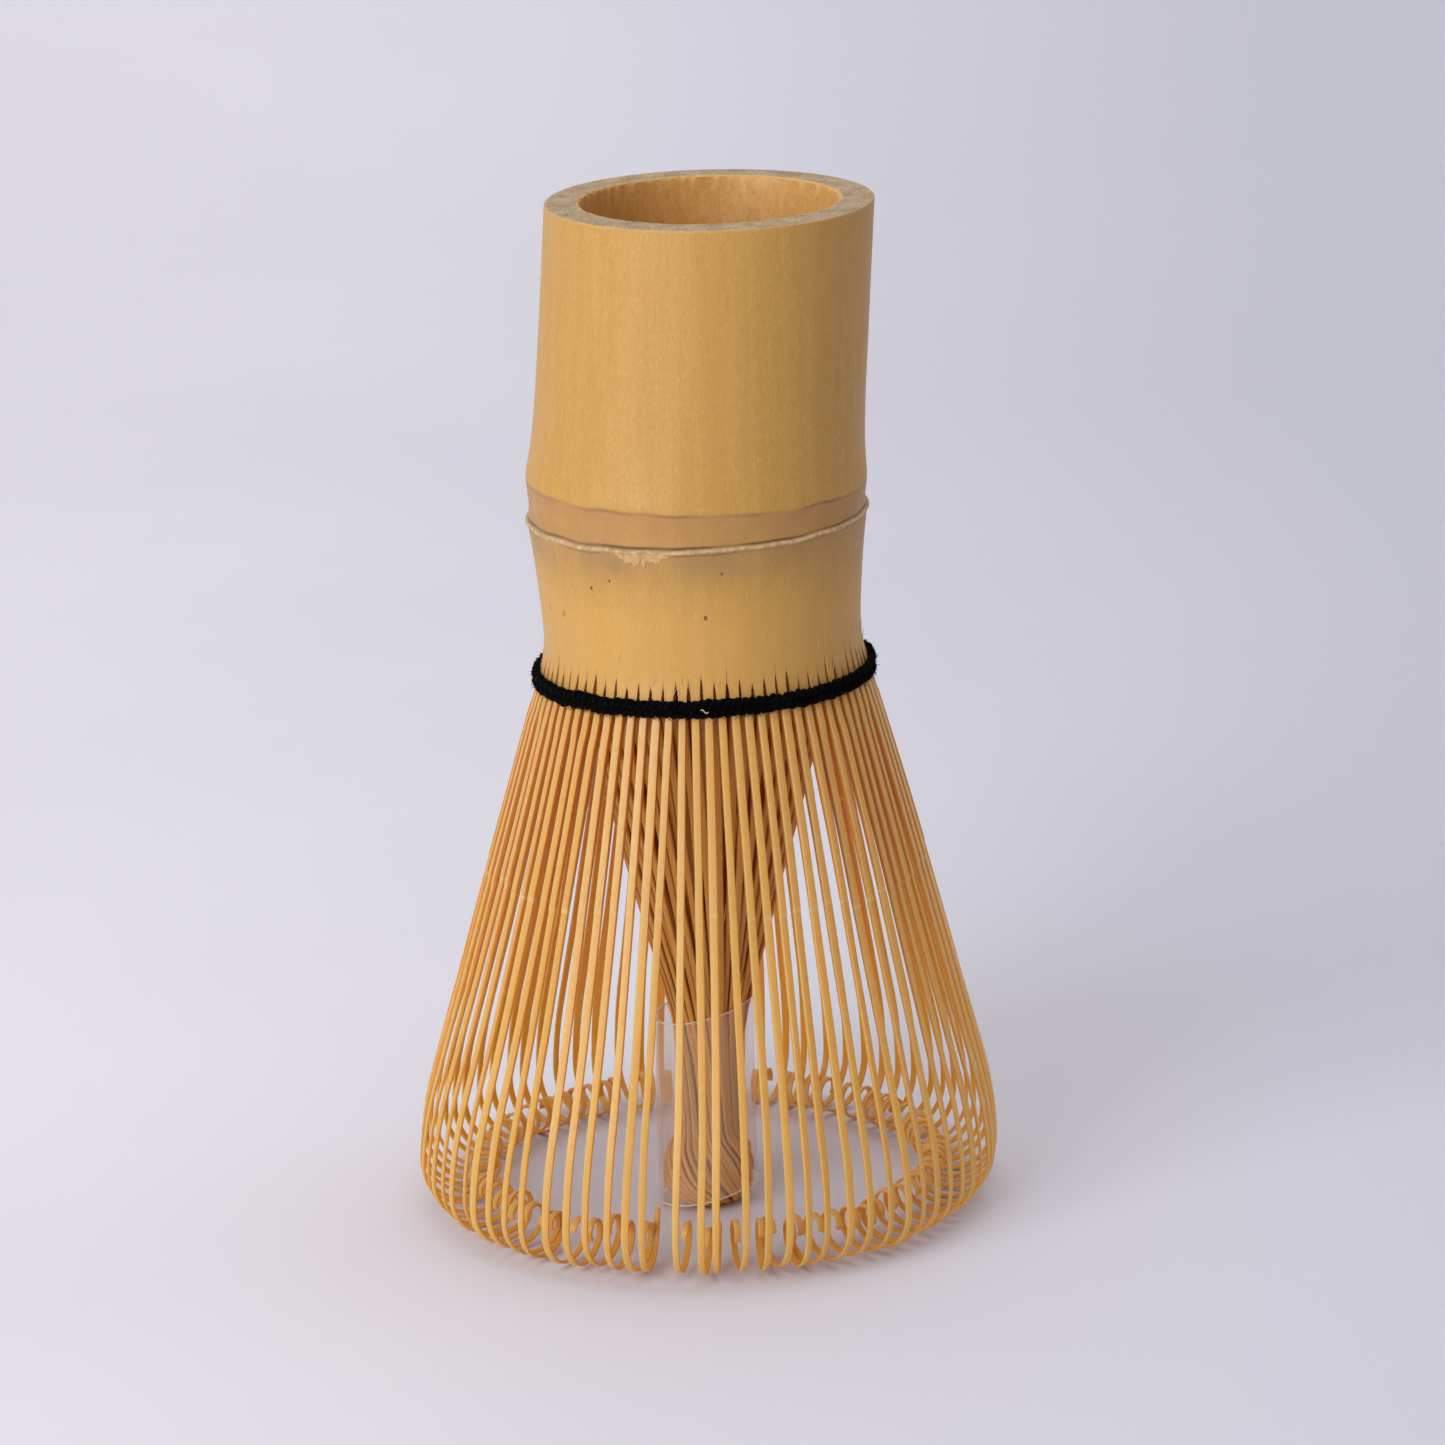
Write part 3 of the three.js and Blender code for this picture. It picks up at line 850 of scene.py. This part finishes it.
def tine_line(root_angle, opened):
    """The side view of an outer tine's outer face, from behind the thread to its curled tip.
    heading is its turn from straight down, and curl_out how far outwards the curl has gone."""
    turn_deg = OPEN_TURN_DEG if opened else rng.choice(CURL_TURNS_DEG)
    out, down, curl_heading = curl(turn_deg + rng.randrange(4), rng.uniform(*CURL_SCALE), opened)
    lift = FRONT_LIFT * max(math.cos(root_angle - FRONT), 0) ** 2
    curl_z = down.max() + lift + rng.uniform(0.02, 0.3)
    shave_z = SHAVE_Z + rng.uniform(-0.7, 0.7)
    z = np.concatenate([
        np.linspace(TOOTH_FOOT_Z + 0.4, SPLAY_Z, 9),
        np.linspace(SPLAY_Z, curl_z, 30)[1:],
        shave_z + np.array([0.7, 0.35, 0.15, -0.15, -0.4])])
    z = np.sort(z)[::-1]
    bow = rng.uniform(-0.25, 0.3) * np.sin(np.linspace(0, math.pi, len(z))) * (z < SPLAY_Z)
    radius = tine_skin(z) + bow
    heading = np.arctan(-np.gradient(radius, z))
    return SimpleNamespace(
        z=np.concatenate([z, curl_z - down[1:]]),
        radius=np.concatenate([radius, radius[-1] + out[1:]]),
        heading=np.concatenate([heading, curl_heading[1:]]),
        curl_out=np.concatenate([np.zeros(len(z)), out[1:]]),
        curl_z=curl_z,
        curl_start=len(z),
        shave_z=shave_z)


def tine_section(line, width):
    """Widths and thicknesses along an outer tine, and where it is shaved, from 0 to 1."""
    z = line.z
    length = np.concatenate([[0], np.cumsum(np.hypot(np.diff(line.radius), np.diff(z)))])
    along = length / length[-1]
    shaved = 1 - smoothstep(line.shave_z - 0.12, line.shave_z + 0.12, z)
    thinned = 0.24 * (1 - smoothstep(38, 58, z)) + 0.12 * (1 - smoothstep(8, 30, z))
    thicknesses = TINE_THICKNESS - thinned - SHAVE_DEPTH * shaved
    taper = 1 - 0.14 * (1 - smoothstep(3, 14, z))
    widths = width * taper * (1 + 0.03 * np.sin(along * 17 + rng.uniform(0, 6)))
    widths = widths * (1 - 0.10 * smoothstep(57, 60, z))
    widths[-1] *= 0.75
    return widths, thicknesses, shaved


def tine_rings(line, root_angle, stray, section):
    """The line turned to its place around the whisk and given its section. Its tip strays
    sideways, and its curl leans and rolls a little."""
    widths, thicknesses, shaved = section
    straight = np.clip((SPLAY_Z + 3 - line.z) / (SPLAY_Z - line.curl_z), 0, 1)
    straight[line.curl_start:] = 1
    out, across = directions(root_angle + stray * straight)
    up = np.array([0, 0, 1])
    lean = rng.uniform(-0.1, 0.1)
    roll = rng.uniform(-0.3, 0.3) * straight
    path = line.radius[:, None] * out + line.z[:, None] * up
    path = path - (line.curl_out * lean)[:, None] * across
    normal = np.cos(line.heading)[:, None] * out + np.sin(line.heading)[:, None] * up
    side = across * np.cos(roll)[:, None] + normal * np.sin(roll)[:, None]
    normal = normal * np.cos(roll)[:, None] - across * np.sin(roll)[:, None]
    path = path - normal * SHAVE_DEPTH * shaved[:, None]
    return sweep(path, side, normal, widths, thicknesses)


def outer_tine(shell, i):
    """One outer tine with the marks for its colours. number counts from the leftmost front one."""
    number = (i - TINES_PER_SLAT // 2 + len(FRONT_TIPS) // 2) % TINES
    stray_deg = FRONT_TIPS[number] if number < len(FRONT_TIPS) else rng.uniform(-0.5, 0.5)
    root_angle = tine_angle(i)
    width = rng.uniform(*TINE_WIDTH)
    line = tine_line(root_angle, number == STRAIGHT_TIP)
    section = tine_section(line, width)
    points = tine_rings(line, root_angle, math.radians(stray_deg), section)

    z = line.z
    shaved = section[-1]
    tone = np.clip(0.45 + rng.gauss(0, 0.22) + 0.25 * shaved, 0, 1)
    dark_corners = np.array([0.5, 0, 0, 0.5, 0.8, 0.7, 0.7, 0.8])
    shade = dark_corners * (0.16 + 0.84 * smoothstep(26, 50, z))[:, None]
    root = 0.6 * (1 - shaved) + 0.3 * smoothstep(48, 60, z)
    cut = rng.uniform(0.1, 0.65) * hump(z - line.shave_z - 0.12, 0.2)
    lit_corners = np.array([0.12, 0.36, 0, 0, 0, 0, 0, 0])
    pale = np.maximum(cut[:, None], lit_corners)
    shell.grid(grown(points), tone=tone[:, None], shade=shade, root=root[:, None], pale=pale)


def build_outer_tines(material):
    """One piece per slat, in place of that slat's outer tines in the CAD model."""
    for slat in range(SLATS):
        shell = Shell("tone", "shade", "root", "pale")
        for i in range(slat * TINES_PER_SLAT, (slat + 1) * TINES_PER_SLAT):
            outer_tine(shell, i)
        node = f"outer_tines_{slat + 1:02d}"
        obj = shell.piece(f"curled_tines_{slat + 1:02d}", material)
        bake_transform(obj)
        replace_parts(obj, node)


# ---- inner tines ----

def inner_path(angle, layer):
    """The middle of an inner tine's outer face: straight in to the bundle, down inside the sleeve,
    then round the knob, swirling more and more. layer is 1 on the bundle's outside and near 0 at
    its core."""
    neck_z = sleeve_high[2] - rng.uniform(0, 2)
    neck = NECK_RADIUS * layer + rng.uniform(-0.15, 0.1)
    neck_angle = angle + math.radians(rng.gauss(14, 4))
    steps = np.linspace(0, 1, CONE_POINTS)
    root = polar(INNER_ROOT_RADIUS, angle, INNER_ROOT_Z)
    cone = root + (polar(neck, neck_angle, neck_z) - root) * steps[:, None]
    bow = 0.6 * np.sin(steps * math.pi)
    cone[:, :2] *= (1 + bow / np.maximum(np.hypot(cone[:, 0], cone[:, 1]), 4))[:, None]

    knob_z, knob_top = KNOB[0]
    z = np.linspace(neck_z, knob_z, BUNDLE_POINTS + 1)[1:]
    levels = [knob_z, 12, 16, neck_z]
    radius = np.interp(z, levels, [knob_top * layer, 3.4 * layer, 3.6 * layer, neck])
    turn = neck_angle + math.radians(24) * (neck_z - z) / (neck_z - knob_z)
    bundle = polar(radius, turn, z)

    rows = np.arange(len(KNOB))
    at = np.linspace(0, len(KNOB) - 1, KNOB_POINTS + 1)[1:]
    t = at / at[-1]
    z = smooth_line(at, rows, KNOB[:, 0])
    if layer < 0.9:
        z = KNOB_MIDDLE_Z + (z - KNOB_MIDDLE_Z) * (0.5 + 0.5 * layer)
    radius = smooth_line(at, rows, KNOB[:, 1]) * layer + rng.uniform(-0.14, 0.1) * t
    swirl = math.radians(125 + 45 * math.sin(angle + 0.6))
    knob = polar(radius, turn[-1] + swirl * t**1.5, z)
    return np.concatenate([cone, bundle, knob])


def inner_tine(shell, angle, layer):
    """One inner tine along its path, flat side out, with the marks for its colours."""
    path = inner_path(angle, layer)
    ahead = unit(np.gradient(path, axis=0))
    centre = path * [0, 0, 1]
    centre[-KNOB_POINTS:] = (0, 0, KNOB_MIDDLE_Z)
    normal = path - centre
    normal = unit(normal - (normal * ahead).sum(1, keepdims=True) * ahead)
    side = np.cross(normal, ahead)
    knob_start = CONE_POINTS + BUNDLE_POINTS
    places = [0, CONE_POINTS - 1, knob_start, knob_start + 10, len(path) - 1]
    at = np.arange(len(path))
    width = np.interp(at, places, [0.95, 0.6, 0.44, 0.6, 0.3]) * rng.uniform(0.85, 1.1)
    thickness = np.interp(at, places, [0.7, 0.4, 0.4, 0.45, 0.25])
    tone = np.clip(0.5 + rng.gauss(0, 0.28), 0, 1)
    dark_corners = np.array([0.5, 0, 0, 0.5, 0.8, 0.8, 0.8, 0.8])
    sheltered = smoothstep(sleeve_high[2] + 2, sleeve_high[2] - 3, path[:, 2])
    points = sweep(path, side, normal, width, thickness, 0.13)
    shell.grid(leant(grown(points)), tone=tone, shade=dark_corners, root=sheltered[:, None])


def add_knob_core(shell):
    """The crushed tips packed inside the knob, dark behind the strands."""
    angle = np.linspace(0, 2 * math.pi, 32, endpoint=False)
    rows = [polar(0.86 * radius, angle, 0.3 + 0.9 * z) for z, radius in KNOB]
    shell.grid(leant(grown(np.array(rows))), shade=0.8, root=1)


def build_inner_tines(material):
    """One piece per slat, with each inner tine halfway between two outer ones."""
    for slat in range(SLATS):
        shell = Shell("tone", "shade", "root")
        for place, layer in enumerate(LAYERS):
            i = slat * TINES_PER_SLAT + place
            inner_tine(shell, tine_angle(i) + TINE_ANGLE / 2, layer)
        if slat == 0:
            add_knob_core(shell)
        obj = shell.piece(f"gathered_tines_{slat + 1:02d}", material)
        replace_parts(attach(obj, "handle"), f"inner_tines_{slat + 1:02d}")


# ---- thread ----

def thread_height(angle):
    """The middle of the woven thread, which dips away from the front."""
    return THREAD_Z + 0.12 - THREAD_DROP * (1 - np.cos(angle - FRONT))


def yarn(shell, radius, height, ply, twists, seed, scallop):
    """A round of two-ply yarn whose plies twist about a ring that bulges over each tine. height is
    above the middle of the woven thread, and ply is the radius of a ply."""
    angle = np.linspace(0, 2 * math.pi, YARN_POINTS, endpoint=False)
    over = np.cos((angle - tine_angle(0)) * TINES)
    ring = radius + scallop * over + 0.06 * ripple(angle, seed, 26)
    lift = thread_height(angle) + height + 0.10 * ripple(angle, seed + 1, 40, 4) + scallop * over
    offset = ply * 0.85
    for k in range(2):
        twist = angle * twists + seed + k * math.pi
        path = polar(ring + offset * np.cos(twist), angle, lift + offset * np.sin(twist))
        thick = ply * (1 + 0.14 * ripple(angle, seed + 5 + k, 60, 9))
        points = tube(path, thick, sides=7, around=True)
        shell.grid(grown(points), around=True, caps=False)


def add_lint(shell, radius):
    """Short fibres that stand off the yarn, a few of them longer."""
    t = np.linspace(0, 1, 4)[:, None]
    for _ in range(LINT_FIBRES):
        angle = rng.uniform(0, 2 * math.pi)
        start = polar(radius, angle, thread_height(angle) + rng.uniform(-0.95, 0.95))
        out, across = directions(angle)
        lean = across * rng.uniform(-1, 1) + np.array([0, 0, rng.uniform(-0.8, 0.8)])
        length = rng.uniform(0.3, 0.65) if rng.random() < 0.93 else rng.uniform(0.7, 1.1)
        path = start + out * t * length * rng.uniform(0.1, 0.9) + lean * t**1.6 * length * 0.8
        shell.grid(grown(tube(path, np.linspace(0.048, 0.022, 4), sides=3)))


def build_threads(cotton):
    """Three rounds of yarn over the outer faces of the tines, and two between the rows."""
    radius = tine_skin(np.array([THREAD_Z]))[0]
    woven = Shell()
    yarn(woven, radius + 0.34, 0.50, ply=0.27, twists=74, seed=3, scallop=0.07)
    yarn(woven, radius + 0.36, -0.47, ply=0.27, twists=71, seed=13, scallop=0.07)
    yarn(woven, radius + 0.16, 0.02, ply=0.24, twists=66, seed=23, scallop=0)
    add_lint(woven, radius + 0.45)
    obj = woven.piece("woven_thread", cotton, crease_deg=80)
    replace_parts(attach(obj, "handle"), "binding_thread")
    inner = Shell()
    yarn(inner, INNER_THREAD_RADIUS, 0, ply=0.25, twists=60, seed=33, scallop=0)
    yarn(inner, INNER_THREAD_RADIUS, -0.6, ply=0.22, twists=58, seed=43, scallop=0)
    obj = inner.piece("inner_thread", cotton, crease_deg=80)
    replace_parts(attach(obj, "handle"), "spreader_thread")


# ---- film sleeve ----

def build_sleeve(film):
    """A strip of film rolled from the inside out, with slanting ends."""
    steps = 170
    pitch = 0.16  # growth of the radius in one turn
    t = np.linspace(0, 1, steps)[:, None]
    angle = SLEEVE_START + t * SLEEVE_TURNS * 2 * math.pi
    outside = SLEEVE_RADIUS - 0.02 - pitch * (1 - t) * SLEEVE_TURNS
    slant = SLEEVE_SLANT * SLEEVE_RADIUS
    bottom = sleeve_low[2] + slant + 0.15 * (1 - t)
    top = sleeve_high[2] - slant - 0.1 * t
    up = np.array([0, 0.012, 0.5, 0.988, 1])
    share = np.concatenate([up, up[::-1]])
    radius = outside - np.repeat([0, SLEEVE_WALL], len(up))
    rows = polar(radius, angle, bottom + (top - bottom) * share)
    rows[..., 2] += SLEEVE_SLANT * rows[..., 0]
    edge = np.zeros((steps, len(share)))
    edge[[0, 1, -2, -1]] = 0.3
    edge[:, (share == 0) | (share == 1)] = 1
    shell = Shell("edge")
    shell.grid(leant(rows), edge=edge)
    obj = shell.piece("film_sleeve", film)
    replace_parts(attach(obj, "sleeve"), "tip_sleeve")


# ---- loose fibres ----

def add_splinter(shell):
    """A splinter that curls away from the bamboo beside the slits."""
    angle = rng.uniform(0, 2 * math.pi)
    z = rng.uniform(60.9, 64.5)
    start = polar(culm_skin(np.array([z]))[0] + 0.02, angle, z)
    length = rng.uniform(0.4, 1.3)
    out, across = directions(angle)
    lean = across * rng.uniform(-0.5, 0.5)
    t = np.linspace(0, 1, 5)[:, None]
    path = start + [0, 0, length] * t + out * 0.28 * length * t**2 * rng.random() + lean * t**2
    shell.grid(grown(tube(path, np.linspace(0.05, 0.012, 5), sides=4)))


def add_caught_fibre(shell):
    """A short pale fibre lying across the thread in front."""
    t = np.linspace(0, 1, 12)
    angle = FRONT + math.radians(1.5) * (1.6 * t - 0.8)
    radius = tine_skin(np.array([THREAD_Z]))[0] + 0.95
    z = THREAD_Z + 0.2 - 0.3 * t + 0.12 * np.sin(7 * t)
    shell.grid(grown(tube(polar(radius, angle, z), 0.06, sides=5)))


def build_splinters(material):
    """Pale splinters at the slits and one fibre caught in the thread."""
    shell = Shell()
    for _ in range(SPLINTERS):
        add_splinter(shell)
    add_caught_fibre(shell)
    obj = shell.piece("splinters", material, crease_deg=80)
    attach(obj, "handle")


# ---- studio ----

LIGHT_AIM = (0, 0, 60 * MM)

# The camera, fitted to the picture: a long lens in front that looks a little down.
CAMERA_PLACE = (2.84 * MM, -559 * MM, 215 * MM)
CAMERA_DOWN_DEG = 16.16
CAMERA_ROLL_DEG = -1.5
LENS_MM = 135.0
SENSOR_MM = 36


def paper():
    """Pale blue white with a faint tooth, and painted shade that darkens it towards the right."""
    m = Material("paper_sweep")
    colour = m.mix(m.span(m.noise(9, 3, 0.5), 0.3, 0.7), (0.79, 0.79, 0.855), (0.82, 0.82, 0.88))
    # Painted shade: darker towards the right, away from the key light.
    colour = m.mix(m.span(m.axis("X"), -120 * MM, 160 * MM), colour, (0.61, 0.63, 0.71))
    normal = m.bump(m.noise(700, 4, 0.6), 0.04, 0.0003)
    return m.principled(Base_Color=colour, Roughness=0.85, Normal=normal, Specular_IOR_Level=0.15)


def build_backdrop():
    """A sweep of paper: the table, a wide bend and the wall behind."""
    half_width, near, flat, radius, tall = 5000, -5000, 380, 500, 1500
    turn = np.linspace(0, math.pi / 2, 24)
    y = [near, *(flat + radius * np.sin(turn)), flat + radius]
    z = [0, *(radius - radius * np.cos(turn)), tall]
    across = np.linspace(-half_width, half_width, 3)
    rows = [[(x, y_row, z_row - 0.02) for x in across] for y_row, z_row in zip(y, z)]
    shell = Shell()
    shell.grid(rows, ring=False, caps=False)
    obj = shell.piece("paper_sweep", paper())
    if obj.data.polygons[0].normal.z < 0:
        obj.data.flip_normals()


def area_light(name, place, size, power, colour):
    """A square light aimed at the middle of the whisk. Its place and size are in metres."""
    data = bpy.data.lights.new(name, "AREA")
    data.shape = "SQUARE"
    data.size = size
    data.energy = power
    data.color = colour
    light = bpy.data.objects.new(name, data)
    light.location = place
    aim = Vector(LIGHT_AIM) - Vector(place)
    light.rotation_euler = aim.to_track_quat("-Z", "Y").to_euler()
    bpy.context.scene.collection.objects.link(light)


def build_studio():
    """A big soft light from the front left, a bigger one overhead, and a warm fill."""
    world = bpy.data.worlds.new("studio")
    world.use_nodes = True
    background = world.node_tree.nodes["Background"]
    background.inputs["Color"].default_value = (1.0, 0.86, 0.80, 1)
    background.inputs["Strength"].default_value = 0.26
    bpy.context.scene.world = world
    area_light("key", (-0.68, -0.77, 0.50), size=0.8, power=9.7, colour=(0.975, 0.985, 1.0))
    area_light("top", (0.18, 0.22, 1.15), size=1.4, power=8.3, colour=(0.98, 0.98, 1.0))
    bpy.context.scene.view_settings.view_transform = "Standard"


def build_camera():
    data = bpy.data.cameras.new("camera")
    data.lens = LENS_MM
    data.sensor_width = SENSOR_MM
    data.clip_end = 20
    camera = bpy.data.objects.new("camera", data)
    camera.location = CAMERA_PLACE
    tilt = Matrix.Rotation(math.radians(90 - CAMERA_DOWN_DEG), 3, "X")
    roll = Matrix.Rotation(math.radians(CAMERA_ROLL_DEG), 3, "Z")
    camera.rotation_euler = (tilt @ roll).to_euler()
    bpy.context.scene.collection.objects.link(camera)
    bpy.context.scene.camera = camera


# ---- the whisk ----

build_camera()
build_studio()
build_backdrop()
build_handle(bamboo_skin(), end_grain(), inner_wall())
build_outer_tines(tine_bamboo(
    "outer_tine_bamboo",
    pale=(0.86, 0.385, 0.08),
    deep=(0.79, 0.325, 0.05),
    tan=(0.77, 0.34, 0.07),
    dark=(0.44, 0.15, 0.014),
    roughness=0.42))
build_inner_tines(tine_bamboo(
    "inner_tine_bamboo",
    pale=(0.93, 0.37, 0.07),
    deep=(0.72, 0.26, 0.04),
    tan=(0.94, 0.36, 0.055),
    dark=(0.40, 0.11, 0.010),
    roughness=0.55))
build_threads(black_cotton())
build_sleeve(clear_film())
build_splinters(loose_fibre())
